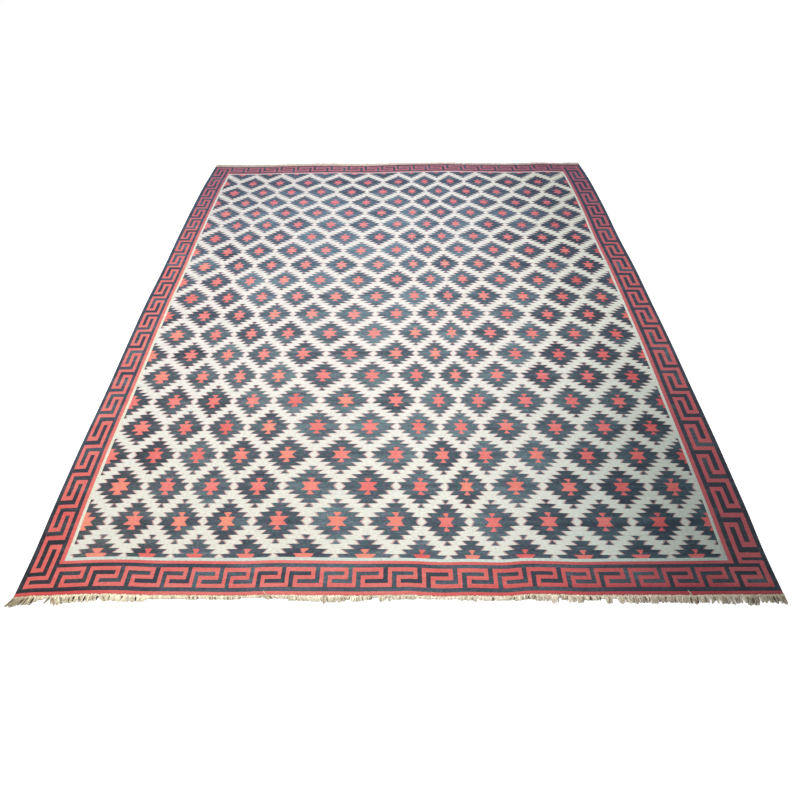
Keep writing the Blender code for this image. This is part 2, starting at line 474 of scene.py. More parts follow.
# Camera, placed from the rug's own corners: where it stands, and how it is turned
CAMERA_PLACE = (-0.0028, -2.3893, 1.7914)
CAMERA_PITCH = 46.059
CAMERA_YAW = 0.2895
CAMERA_ROLL = 0.0157
CAMERA_LENS = 26.747
SENSOR_WIDTH = 36.0

# Floor and light: white surroundings, and one wide lamp a little to the left and near end
FLOOR_RADIUS = 40.0
FLOOR_SIDES = 96
FLOOR_DROP = 0.0005
FLOOR_GREY = 0.94
WORLD_LIGHT = 1.07
LAMP_PLACE = (-0.45, -0.35, 2.3)
LAMP_SIZE = 2.2
LAMP_POWER = 60

# The seeds of the random draws
SEEDS = {"near fringe": 21, "far fringe": 22, "near heading": 23, "far heading": 24, "far tufts": 25}


def from_table(table, share, column):
    """A value from a table at a share of the way, on a smooth curve through the rows."""
    last = len(table) - 1
    row = max(r for r in range(last) if table[r][0] <= share or r == 0)
    before, low, high, after = (table[min(max(row + k, 0), last)] for k in (-1, 0, 1, 2))
    span = high[0] - low[0]
    part = min(max((share - low[0]) / span, 0.0), 1.0)
    rise_low = (high[column] - before[column]) / (high[0] - before[0]) * span
    rise_high = (after[column] - low[column]) / (after[0] - low[0]) * span
    square, cube = part**2, part**3
    return (
        low[column] * (2 * cube - 3 * square + 1)
        + rise_low * (cube - 2 * square + part)
        + high[column] * (3 * square - 2 * cube)
        + rise_high * (cube - square)
    )


def eased(share):
    """A share held between 0 and 1, and eased in and out."""
    share = min(max(share, 0.0), 1.0)
    return share * share * (3 - 2 * share)


def plain_point(s, t):
    """Where the cloth's share s across and share t along lie, before the rug is centred on the floor."""
    left = from_table(SIDE_BOW_MM, t, 1) * MM
    right = from_table(SIDE_BOW_MM, t, 2) * MM
    near = from_table(END_BOW_MM, s, 1) * MM
    far = from_table(END_BOW_MM, s, 2) * MM
    x = (s - 0.5) * RUG_WIDTH - (1 - s) * left + s * right
    y = (t - 0.5) * RUG_LENGTH - (1 - t) * near + t * far
    return x, y


def shift_to_frame():
    """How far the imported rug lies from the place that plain_point gives."""
    shares = [k / 60 for k in range(61)]
    wide = [plain_point(s, t)[0] for s in (0, 1) for t in shares]
    long = [plain_point(s, t)[1] for s in shares for t in (0, 1)]
    low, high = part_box("rug")
    middle = (Vector(low) + Vector(high)) / 2
    return middle.x - (min(wide) + max(wide)) / 2, middle.y - (min(long) + max(long)) / 2


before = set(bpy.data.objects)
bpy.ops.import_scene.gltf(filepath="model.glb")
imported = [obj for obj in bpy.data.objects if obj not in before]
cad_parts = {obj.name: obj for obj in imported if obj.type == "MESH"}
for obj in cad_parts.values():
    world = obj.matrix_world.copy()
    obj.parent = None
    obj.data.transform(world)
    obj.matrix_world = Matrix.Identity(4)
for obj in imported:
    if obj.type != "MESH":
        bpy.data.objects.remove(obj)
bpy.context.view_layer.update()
SHIFT_X, SHIFT_Y = shift_to_frame()


def lift_at(x, y, inward):
    """Height of the underside over the floor: the pucker at the near end and the low waves."""
    across = math.exp(-(((x - PUCKER_X - SHIFT_X) / PUCKER_HALF_WIDTH) ** 2) * 2)
    fade = max(0.0, 1 - max(inward, 0.0) / PUCKER_REACH)
    pucker = PUCKER_HEIGHT * across * fade * fade
    wave = noise.noise(Vector((x / WAVE_SIZE, y / WAVE_SIZE * 1.3, 3.7)))
    fine = noise.noise(Vector((x / WAVE_SIZE * 3.1, y / WAVE_SIZE * 2.7, 8.2)))
    return pucker + WAVE_HEIGHT * max(0.0, wave * 0.8 + fine * 0.3)


def cloth_point(s, t):
    """The cloth's underside at share s across and share t along."""
    x, y = plain_point(s, t)
    x, y = x + SHIFT_X, y + SHIFT_Y
    return Vector((x, y, lift_at(x, y, t * RUG_LENGTH)))


def joined(operation):
    """A method of Graph that joins values by one operation, from the left."""
    def method(graph, first, *others):
        for other in others:
            first = graph.math(operation, first, other)
        return first
    return method


class Graph:
    """Short calls that make and join the nodes of one material. Colours are linear (r, g, b)."""

    def __init__(self, material):
        self.nodes = material.node_tree.nodes
        self.links = material.node_tree.links

    def put(self, value, socket):
        if isinstance(value, bpy.types.NodeSocket):
            self.links.new(value, socket)
        else:
            socket.default_value = value

    def node(self, kind, inputs=(), **settings):
        """The outputs of a new node, with values or links on its inputs by their names or numbers."""
        node = self.nodes.new("ShaderNode" + kind)
        for name, value in settings.items():
            setattr(node, name, value)
        for name, value in dict(inputs).items():
            self.put(value, node.inputs[name])
        return node.outputs

    def math(self, operation, *values):
        return self.node("Math", enumerate(values), operation=operation)[0]

    add = joined("ADD")
    less = joined("SUBTRACT")
    times = joined("MULTIPLY")
    below = joined("LESS_THAN")
    larger = joined("MAXIMUM")

    def flip(self, value):
        return self.less(1.0, value)

    def fit(self, value, low, high, to_low, to_high):
        """Value from low to high, eased and mapped to to_low to to_high."""
        inputs = enumerate((value, low, high, to_low, to_high))
        return self.node("MapRange", inputs, interpolation_type="SMOOTHSTEP")[0]

    def span(self, value, start, stop):
        """Eased from 0 where the value is at start to 1 where it is at stop, which may be the lower one."""
        if start < stop:
            return self.fit(value, start, stop, 0.0, 1.0)
        return self.fit(value, stop, start, 1.0, 0.0)

    def mix(self, share, a, b, blend="MIX"):
        a, b = ((*colour, 1.0) if isinstance(colour, tuple) else colour for colour in (a, b))
        return self.node("Mix", {0: share, 6: a, 7: b}, data_type="RGBA", blend_type=blend)[2]

    def layers(self, colour, steps, blend="MIX"):
        """A colour mixed with others in turn, by (share, other) steps."""
        for share, other in steps:
            colour = self.mix(share, colour, other, blend)
        return colour

    def tints(self, colour, steps):
        """A colour multiplied by others in turn, by (share, other) steps."""
        return self.layers(colour, steps, "MULTIPLY")

    def ramp(self, share, stops):
        """A colour ramp through (place, (r, g, b)) stops."""
        node = self.nodes.new("ShaderNodeValToRGB")
        elements = node.color_ramp.elements
        while len(elements) < len(stops):
            elements.new(1.0)
        for element, (place, colour) in zip(elements, stops):
            element.position = place
            element.color = (*colour, 1.0)
        self.put(share, node.inputs[0])
        return node.outputs[0]

    def split(self, vector):
        return list(self.node("SeparateXYZ", {0: vector}))

    def place(self):
        return self.node("TexCoord")["Object"]

    def uv(self, name):
        return self.split(self.node("UVMap", uv_map=name)[0])[:2]

    def value(self, name):
        return self.node("Attribute", attribute_name=name)["Fac"]

    def noise(self, vector, sizes, detail=2.0, roughness=0.5):
        """Noise from 0 to 1 whose lumps have the given sizes in metres along x, y and z."""
        scale = [1 / size for size in sizes]
        scaled = self.node("VectorMath", {0: vector, 1: scale}, operation="MULTIPLY")[0]
        inputs = {"Vector": scaled, "Scale": 1.0, "Detail": detail, "Roughness": roughness}
        return self.node("TexNoise", inputs)[0]

    def uneven(self, vector, sizes, detail=2.0, roughness=0.5):
        """The same noise from -0.5 to 0.5."""
        return self.less(self.noise(vector, sizes, detail, roughness), 0.5)

    def chance(self, x, y, z):
        """One random number for each whole x, y and z."""
        whole = self.node("CombineXYZ", enumerate((x, y, z)))[0]
        return self.node("TexWhiteNoise", {"Vector": whole})["Value"]

    def bump(self, height, distance, strength):
        return self.node("Bump", {"Height": height, "Distance": distance, "Strength": strength})[0]


def new_material(name, roughness, sheen):
    """A material with its graph and shader; the values that are the same all over sit on the shader."""
    material = bpy.data.materials.new(name)
    material.use_nodes = True
    shader = material.node_tree.nodes["Principled BSDF"]
    shader.inputs["Roughness"].default_value = roughness
    shader.inputs["Metallic"].default_value = 0.0
    shader.inputs["Specular IOR Level"].default_value = 0.06
    shader.inputs["Sheen Weight"].default_value = sheen
    shader.inputs["Sheen Roughness"].default_value = 0.5
    return material, Graph(material), shader


def diamond_masks(g, column, row, trim):
    """Where the field is dark, star and outline, how deep in a star, and a random number for each diamond.

    Trim is how much narrower the stars are than in the table."""
    stops = []
    for level, (dark_in, dark_out, star_in, star_out) in enumerate(DIAMOND_LEVELS):
        stops.append((level / LEVELS_A_ROW + LEVEL_EDGE, (dark_in, star_in, 0)))
        stops.append(((level + 1) / LEVELS_A_ROW - LEVEL_EDGE, (dark_out, star_out, 0)))
    top = len(DIAMOND_LEVELS) / LEVELS_A_ROW
    stops.append((top + LEVEL_EDGE, (0, 0, 0)))

    first = g.math("FLOOR", row)
    past = g.math("FRACT", row)
    odd = g.math("MODULO", first, 2.0)
    from_half = g.times(g.math("ABSOLUTE", g.less(g.math("FRACT", column), 0.5)), 2.0)
    across = g.add(from_half, g.times(odd, g.flip(g.times(from_half, 2.0))))

    found = []
    for side, level in ((across, past), (g.flip(across), g.flip(past))):
        dark_half, star_half, _ = g.split(g.ramp(level, stops))
        in_levels = g.below(level, top)
        dark = g.times(in_levels, g.span(g.less(dark_half, side), -EDGE_BLUR, EDGE_BLUR))
        in_star = g.below(0.001, star_half)
        star_depth = g.times(in_star, g.less(g.less(star_half, side), trim))
        star = g.times(in_star, g.span(star_depth, -0.5 * EDGE_BLUR, EDGE_BLUR))
        off_edge = g.math("ABSOLUTE", g.less(g.less(side, dark_half), OUTLINE_PAST))
        outline = g.times(in_levels, g.span(off_edge, OUTLINE_REACH, 0.0))
        found.append((dark, star, outline, star_depth))
    dark, star, outline, star_depth = (g.larger(a, b) for a, b in zip(*found))

    in_next_row = g.below(0.5, found[1][0])
    own_row_odd = g.math("ABSOLUTE", g.less(odd, in_next_row))
    own_column = g.math("FLOOR", g.add(column, g.times(own_row_odd, 0.5)))
    own = g.chance(own_column, g.add(first, in_next_row), 2.0)
    return dark, star, outline, g.span(star_depth, 0.0, STAR_HEART), own


def key_masks(g, along, across):
    """Where the key is dark, and a random number for each hook."""
    unit = g.math("FLOOR", along)
    part = g.math("FRACT", along)
    hooks = [0.0, 0.0]
    for start, end, low, high, hook in KEY_BARS:
        inside = g.times(
            g.below(start, part), g.below(part, end), g.below(low, across), g.below(across, high)
        )
        hooks[hook] = g.larger(hooks[hook], inside)
    own = g.chance(unit, g.add(hooks[1], 0.5), 5.0)
    return g.larger(*hooks), own


def weave_height(g, c):
    """Ribs over the warps with the weft's beads on them, out of step from one rib to the next."""
    wander = g.uneven(c.place, (0.03, 0.03, 0.03))
    rib = g.add(g.math("DIVIDE", c.x, RIB_PITCH), g.times(wander, 0.9))
    bead = g.add(g.math("DIVIDE", c.y, BEAD_PITCH), g.times(wander, 1.7))
    step = g.times(g.math("FLOOR", rib), 0.5)
    ribs = g.math("ABSOLUTE", g.math("SINE", g.times(rib, math.pi)))
    beads = g.math("ABSOLUTE", g.math("SINE", g.times(g.add(bead, step), math.pi)))
    fuzz = g.noise(c.place, (0.0015, 0.0015, 0.0015))
    return g.add(g.times(ribs, g.add(g.times(beads, 0.45), 0.55)), g.times(fuzz, 0.5))


def cloth_places(g):
    """Where a point lies on the cloth, masks for parts of it, and noise that all its yarns share."""
    c = SimpleNamespace(place=g.place())
    c.x, c.y, _ = g.split(c.place)
    c.share = g.add(g.math("DIVIDE", c.x, RUG_WIDTH), 0.5)
    c.reach = g.add(g.math("DIVIDE", c.y, RUG_LENGTH), 0.5)

    def area(across, along):
        """A mask that goes from 0 at the first share to 1 at the second, both across the rug and along it."""
        return g.times(g.span(c.share, *across), g.span(c.reach, *along))

    c.area = area
    c.left = g.span(c.share, 0.40, 0.05)
    c.near_left = area((0.22, 0.00), (0.25, 0.00))
    c.near_right = area((0.55, 1.00), (0.50, 0.00))
    # Painted sheen, partly fading of the dyes: paler across the middle of the width, from near the middle of
    # the length on, and less at the far end
    c.faded_across = g.times(g.span(c.share, -0.15, 0.35), g.span(c.share, 0.95, 0.55))
    c.faded = g.times(c.faded_across, g.span(c.reach, -0.25, 0.45), g.fit(c.reach, 0.76, 1.00, 1.0, 0.35))

    # Passes of weft from one dye lot run across, and patches of wear cover several
    c.passes = g.uneven(c.place, (0.50, 0.014, 1), detail=3.0, roughness=0.6)
    c.patches = g.uneven(c.place, (0.16, 0.05, 1))
    return c


def add_pattern(g, c):
    """Adds what shows at a point: masks for the yarns and zones, and a number for its own diamond or hook."""
    # Uneven weaving moves each edge of the pattern a little
    uneven_x = g.uneven(c.place, (0.050, 0.015, 1))
    uneven_y = g.uneven(c.place, (0.060, 0.050, 1))
    column, row = g.uv("Field")
    column = g.add(column, g.times(uneven_x, 0.08))
    row = g.add(row, g.times(uneven_y, 0.030))
    trim = g.add(
        g.times(c.share, 0.050),
        g.times(c.reach, c.reach, 0.040),
        g.times(g.below(column, 0.5), -0.07),
        g.times(g.below(LAST_COLUMN - 0.5, column), -0.02),
        g.times(c.area((0.30, 0.00), (0.25, 0.00)), -0.028),
        g.times(g.below(len(ROWS) - 1.5, row), 0.09),
        -0.005,
    )
    dark_field, star, outline, c.star_heart, own_diamond = diamond_masks(g, column, row, trim)
    along, across = g.uv("Key")
    along = g.add(along, g.times(uneven_x, 0.03))
    across = g.add(across, g.times(uneven_y, 0.25))
    dark_key, own_hook = key_masks(g, along, across)

    zone = g.value("zone")
    c.inside = {name: g.math("COMPARE", zone, float(number), 0.25) for name, number in ZONES.items()}
    field, key = c.inside["field"], c.inside["key"]
    c.dark = g.larger(g.times(field, dark_field), g.larger(c.inside["dark"], g.times(key, dark_key)))
    c.red = g.larger(g.times(field, star), g.larger(c.inside["red"], g.times(key, g.flip(dark_key))))
    c.outline = g.times(field, outline)
    c.own = g.add(g.times(field, g.less(own_diamond, 0.5)), g.times(key, g.less(own_hook, 0.5)))
    c.in_border = g.below(0.5, g.times(g.flip(field), g.flip(c.inside["cream"])))
    c.in_field = g.flip(c.in_border)


def navy_yarn(g, c):
    """Navy yarn: its tone changes with each pass, patch and motif, with painted sheen and fading in the
    middle.
    """
    flecks = g.uneven(c.place, (0.011, 0.006, 1), roughness=0.7)
    streaks = g.span(g.noise(c.place, (0.13, 0.007, 1)), 0.60, 0.74)
    own_lot = g.times(
        g.add(g.times(c.in_border, 0.30), 0.36),
        g.fit(c.reach, 0.60, 0.92, 1.0, 0.50),
        g.flip(g.times(c.in_field, c.near_right, 0.55)),
    )
    tone = g.add(
        # paler where sheen and fading are painted
        g.times(c.faded, 0.46),
        # a little darker towards the right: painted shade
        g.fit(c.share, 0.70, 0.95, 0.20, 0.14),
        g.times(c.in_border, -0.12),
        g.times(c.own, own_lot),
        g.times(c.passes, 0.90),
        g.times(c.patches, 1.10),
        g.times(flecks, g.fit(c.reach, 0.45, 0.80, 1.12, 1.25)),
        g.times(streaks, c.in_field, 0.20),
    )
    hue = g.span(g.noise(c.place, (0.022, 0.012, 1)), 0.35, 0.65)
    lower_left = g.times(c.area((0.75, 0.30), (0.65, 0.30)), g.fit(c.reach, 0.02, 0.20, 0.35, 1.0))
    return g.tints(g.ramp(tone, NAVY_TONES), (
        (g.fit(c.reach, 0.25, 0.90, 0.0, 0.58), (0.88, 1.02, 1.38)),
        (c.near_left, (0.82, 0.66, 0.59)),
        (g.times(c.in_border, g.span(c.reach, 0.960, 0.962)), (1.06, 1.02, 0.97)),
        (g.times(c.in_border, c.near_left), (0.74, 0.74, 0.74)),
        (g.times(c.in_field, g.span(c.reach, 0.75, 0.95)), (0.92, 0.93, 0.92)),
        (g.times(c.in_field, c.left, g.span(c.reach, 0.50, 0.15)), (1.01, 0.95, 0.92)),
        (g.times(c.in_field, lower_left), (0.92, 0.88, 0.87)),
        (g.fit(c.share, 0.55, 0.85, 1.0, 0.45), g.mix(hue, (0.83, 1.07, 0.98), (1.17, 0.93, 1.05))),
        # cooler at the near right: the colour of the painted shade there
        (g.times(c.in_field, c.near_right), (0.80, 1.00, 1.04)),
    ))


def coral_yarn(g, c):
    """Coral yarn: orange in the heart of some stars, pale where worn and under painted sheen and fading,
    darker to the right as painted shade, rose to plum at the far end.
    """
    own_red = g.math("FRACT", g.times(g.add(c.own, 0.5), 17.0))
    tone = g.add(
        # darker and more crimson towards the right, in the border and the field: painted shade
        g.times(c.in_border, g.fit(c.share, 0.46, 0.92, 0.70, 0.06)),
        g.times(c.in_field, g.fit(c.share, 0.50, 1.00, 0.92, 0.72)),
        g.times(c.in_field, g.fit(own_red, 0.00, 0.45, -0.34, 0.0)),
        g.times(c.patches, 0.65),
        g.times(c.passes, 0.50),
    )
    orange = g.times(
        c.in_field,
        g.fit(own_red, 0.40, 1.0, 0.0, 0.72),
        g.fit(c.share, 0.55, 0.85, 1.0, 0.15),
        g.add(g.times(c.star_heart, 0.60), 0.50),
    )
    worn_border = g.times(c.in_border, g.span(c.reach, 0.08, 0.45), g.fit(c.share, 0.0, 1.0, 0.42, 0.27))
    # the far border's plum is lighter across the middle, with the painted sheen and fading
    plum = g.mix(c.faded_across, (0.258, 0.078, 0.119), (0.335, 0.115, 0.155))
    coral = g.layers(g.ramp(tone, CORAL_TONES), (
        (orange, (0.530, 0.215, 0.140)),
        # paler where sheen and fading are painted
        (g.times(c.in_field, c.faded, g.fit(c.reach, 0.08, 0.50, 0.0, 0.58)), (0.520, 0.222, 0.205)),
        (worn_border, (0.470, 0.150, 0.150)),
        (g.times(c.in_field, g.fit(c.reach, 0.50, 1.00, 0.0, 0.68)), (0.468, 0.126, 0.170)),
        (g.times(c.in_border, g.fit(c.reach, 0.55, 1.00, 0.0, 0.85)), plum),
    ))
    end_stripe = g.times(g.span(c.reach, 0.009, 0.006), g.larger(c.near_left, g.span(c.share, 0.45, 0.85)))
    bright = g.mix(g.span(c.reach, 0.40, 0.70), (1.02, 0.93, 0.94), (1.07, 1.02, 1.03))
    # darker at the far end outside the painted sheen
    bright = g.mix(g.times(g.span(c.reach, 0.55, 0.90), g.flip(c.faded_across)), bright, (0.92, 0.88, 0.90))
    return g.tints(coral, (
        (g.times(c.in_border, c.area((0.92, 0.94), (0.30, 0.02))), (1.17, 1.30, 1.30)),
        (g.times(c.in_border, c.near_left), (0.97, 0.76, 0.76)),
        (end_stripe, (0.95, 0.74, 0.80)),
        (g.times(c.in_field, g.flip(c.near_right)), bright),
        (g.times(c.in_field, c.area((0.50, 0.80), (0.60, 0.30))), (1.00, 0.97, 1.07)),
    ))


def cream_yarn(g, c):
    """Undyed cream yarn, greener in some passes and in the guard stripe."""
    near = g.mix(g.span(c.reach, 0.00, 0.45), (0.480, 0.472, 0.413), (0.494, 0.474, 0.448))
    green = g.times(
        g.span(g.add(c.passes, g.times(c.patches, 0.7)), 0.02, 0.34),
        g.fit(c.share, 0.40, 0.90, 0.60, 0.78),
    )
    guard = c.inside["cream"]
    left_guard = g.times(
        guard,
        g.below(c.share, 0.08),
        g.span(c.reach, 0.040, 0.060),
        g.fit(c.reach, 0.55, 0.80, 1.0, 0.15),
    )
    cream = g.layers(near, (
        (g.span(c.reach, 0.50, 1.00), (0.528, 0.534, 0.520)),
        (g.span(c.share, 0.60, 0.95), (0.474, 0.493, 0.440)),
        (green, (0.390, 0.443, 0.385)),
        (g.times(guard, g.fit(c.reach, 0.045, 0.060, 0.8, 0.15)), (0.370, 0.430, 0.385)),
        (left_guard, (0.475, 0.480, 0.385)),
        (g.times(guard, g.fit(c.reach, 0.950, 0.958, 0.0, 0.5)), (0.480, 0.300, 0.320)),
    ))
    lighter = g.mix(g.span(c.reach, 0.00, 0.40), (1.020, 1.045, 1.055), (1.030, 1.030, 1.030))
    return g.tints(cream, (
        # cooler at the near right: the colour of the painted shade there
        (c.near_right, (0.92, 0.99, 1.01)),
        (g.times(g.span(c.share, 0.35, 0.50), g.span(c.share, 0.95, 0.80)), lighter),
        (g.times(c.left, g.span(c.reach, 0.55, 0.95)), (0.89, 0.88, 0.88)),
    ))


def lightness(g, c):
    """How light the cloth is: mottled yarn, and painted shade on the right side, most of all at its near end.
    """
    # Painted shade: darker towards the right, most of all at the near end, and the field's light yarns there
    # a little more
    painted_shade = g.times(g.fit(c.share, 0.72, 1.00, 1.0, 0.88), g.flip(g.times(c.near_right, 0.52)))
    painted_shade = g.less(painted_shade, g.times(c.in_field, g.flip(c.dark), c.near_right, 0.03))
    yarn = g.noise(c.place, (0.012, 0.0035, 1), detail=3.0, roughness=0.7)
    heather = g.uneven(c.place, (0.007, 0.006, 1), roughness=0.8)
    slubs = g.uneven(c.place, (0.016, 0.022, 1), detail=1.0)
    mottle = g.add(
        g.fit(yarn, 0.25, 0.75, 0.84, 1.16),
        g.times(heather, g.fit(c.reach, 0.10, 0.70, 0.62, 0.84)),
        g.times(slubs, g.fit(c.reach, 0.10, 0.80, 0.10, 0.50)),
    )
    return g.times(painted_shade, mottle)


def woven_cotton():
    """Weft-faced cotton in three yarns, with the pattern, painted sheen and fading, painted shade on the
    right, and the uneven dye of each pass.
    """
    material, g, shader = new_material("woven_cotton", roughness=0.95, sheen=0.015)
    c = cloth_places(g)
    add_pattern(g, c)
    base = g.layers(cream_yarn(g, c), (
        (c.dark, navy_yarn(g, c)),
        (g.times(c.outline, OUTLINE_STRENGTH), OUTLINE_RED),
        (c.red, coral_yarn(g, c)),
        # the left rim: the selvedge's grey with a painted highlight
        (c.inside["selvedge"], SELVEDGE_GREY_AND_HIGHLIGHT),
    ))
    base = g.tints(base, ((1.0, lightness(g, c)),))
    g.put(base, shader.inputs["Base Color"])
    g.put(g.bump(weave_height(g, c), WEAVE_HEIGHT, 0.7), shader.inputs["Normal"])
    return material


def fringe_cotton():
    """Undyed warp yarn: plied and soiled, with painted shadow and dirt between the tufts, painted shade to
    the right, and the odd red strand.
    """
    material, g, shader = new_material("fringe_cotton", roughness=0.95, sheen=0.03)
    place = g.place()
    x, y, _ = g.split(place)
    dirt = g.noise(place, (0.010, 0.006, 0.004), detail=3.0)
    base = g.layers(g.ramp(g.value("shade"), FRINGE_TONES), (
        (g.fit(dirt, 0.50, 0.80, 0.0, 0.40), (0.230, 0.190, 0.125)),
        (g.times(g.value("red"), 0.70), (0.330, 0.070, 0.060)),
        # dark brown locks between the tufts: painted shadow and dirt
        (g.value("dark"), (0.048, 0.031, 0.018)),
    ))
    wool = g.fit(g.noise(place, (0.0045, 0.0035, 0.0045)), 0.30, 0.70, 0.76, 1.14)
    base = g.tints(base, (
        (1.0, wool),
        (g.span(x, 0.00, -1.10), (1.0, 0.98, 0.90)),
        # darker and greyer towards the right: painted shade
        (g.span(x, 0.30, 1.25), (0.65, 0.66, 0.68)),
    ))
    middle = g.times(g.span(x, -1.00, -0.50), g.span(x, 0.80, 0.20))
    far_wool = g.mix(middle, (0.510, 0.425, 0.395), (0.660, 0.555, 0.500))
    base = g.mix(g.fit(y, 0.00, 0.20, 0.0, 0.80), base, far_wool)
    g.put(base, shader.inputs["Base Color"])
    around, along = g.uv("Yarn")
    plies = g.math("SINE", g.times(g.add(g.times(around, 2.0), g.times(along, 0.4)), 2 * math.pi))
    g.put(g.bump(plies, PLY_HEIGHT, 0.8), shader.inputs["Normal"])
    return material


def band_lines(bands, column):
    """Shares at which the bands of one border start and end, from its outer edge."""
    widths = [band[column] for band in bands]
    return [sum(widths[:count]) / PARTS for count in range(len(widths) + 1)]


def new_object(name, data):
    """An object of some data, linked into the scene."""
    obj = bpy.data.objects.new(name, data)
    bpy.context.scene.collection.objects.link(obj)
    return obj


def new_mesh(name, points, faces, material, uvs, domain, values):
    """A smooth mesh with one material, and with UV maps and values of its points or faces by their names."""
    mesh = bpy.data.meshes.new(name)
    mesh.from_pydata(points, [], faces)
    mesh.materials.append(material)
    for label, places in uvs.items():
        mesh.uv_layers.new(name=label).data.foreach_set("uv", places)
    for label, numbers in values.items():
        mesh.attributes.new(label, "FLOAT", domain).data.foreach_set("value", numbers)
    mesh.shade_smooth()
    return mesh


def border_lines(border, bands, column, rim):
    """Grid lines of one border from its outer edge, and the cells between them. The first is the rim."""
    lines = [0.0, rim, *band_lines(bands, column)[1:-1]]
    return lines, [(border, band) for band in (0, *range(len(bands)))]


def across_lines():
    """Grid lines across, each as its share of the width in the border and as its field column, and what
    lies between each line and the next."""
    left, left_cells = border_lines("left", SIDE_BANDS, 1, RIM_WIDTH / RUG_WIDTH)
    right, right_cells = border_lines("right", SIDE_BANDS, 2, RIM_WIDTH / RUG_WIDTH)
    left_cells[0] = ("selvedge", 0)
    steps = LAST_COLUMN * CELLS_A_COLUMN
    lines = [(s, 0.0) for s in left]
    lines += [(None, step / CELLS_A_COLUMN) for step in range(steps + 1)]
    lines += [(1 - s, float(LAST_COLUMN)) for s in reversed(right)]
    return lines, left_cells + [("field", 0)] * steps + right_cells[::-1]


def along_lines():
    """Grid lines along, each as its share of the length and its field row, and what lies between each
    line and the next."""
    near, near_cells = border_lines("near", END_BANDS, 1, RIM_WIDTH / RUG_LENGTH)
    far, far_cells = border_lines("far", END_BANDS, 2, RIM_WIDTH / RUG_LENGTH)
    last = len(ROWS) - 1
    steps = last * CELLS_A_ROW
    lines = [(t, 0.0) for t in near]
    for step in range(steps + 1):
        row = min(step // CELLS_A_ROW, last - 1)
        part = step / CELLS_A_ROW - row
        at = ROWS[row] + (ROWS[row + 1] - ROWS[row]) * part
        if step == 0:
            at = sum(band[1] for band in END_BANDS)
            part = (at - ROWS[0]) / (ROWS[1] - ROWS[0])
        lines.append((at / PARTS, row + part))
    lines += [(1 - t, float(last)) for t in reversed(far)]
    return lines, near_cells + [("field", 0)] * steps + far_cells[::-1]


def stray_at(s, t):
    """How far the rows stray along the rug at a share of the width and length, as a share of the length."""
    here = [(share, from_table(ROW_STRAY_MM, t, 1 + place)) for place, share in enumerate(STRAY_AT)]
    return from_table(here, s, 1) * MM / RUG_LENGTH


def grid_spot(across, along):
    """Shares of the width and the length where a line across meets a line along."""
    s, column = across
    t, _ = along
    first = min(int(column), LAST_COLUMN - 1)
    low, high = (from_table(COLUMNS, t, first + 1 + k) / PARTS for k in (0, 1))
    place = low + (high - low) * (column - first)
    if s is None:
        s = place
    else:
        side = band_lines(SIDE_BANDS, 1)[-1] if column == 0 else 1 - band_lines(SIDE_BANDS, 2)[-1]
        s += (place - side) * eased(min(s, 1 - s) / EDGE_HOLD)
    return s, t + stray_at(s, t) * eased(min(t, 1 - t) / EDGE_HOLD)


def zone_of(across_cell, along_cell):
    """The zone of a grid cell, and the border whose key it may belong to."""
    side, side_band = across_cell
    end, end_band = along_cell
    if side == "selvedge":
        return "selvedge", None
    if side == "field" and end == "field":
        return "field", None
    if end == "field":
        return SIDE_BANDS[side_band][0], side
    if side == "field":
        return END_BANDS[end_band][0], end
    letter = CORNERS[end, side][end_band][side_band]
    return {"D": "dark", "R": "red", "C": "cream", "K": "key"}[letter], end


def key_coordinates(border, s, t, lines_in):
    """Key coordinates of a point: hooks along the border, and stripes in from the key's outer edge.

    Lines in is how many grid lines the point lies in from the border's outer edge."""
    at_end = border in ("near", "far")
    bands = END_BANDS if at_end else SIDE_BANDS
    first_line = 1 + [band[0] for band in bands].index("key")
    starts = KEY_STARTS[border]
    here = (s if at_end else t) * PARTS
    hook = min(max(sum(start <= here for start in starts) - 1, 0), len(starts) - 2)
    part = (here - starts[hook]) / (starts[hook + 1] - starts[hook])
    number = list(KEY_STARTS).index(border)
    return number * KEY_ZONE_STEP + 1 + hook + part, lines_in - first_line


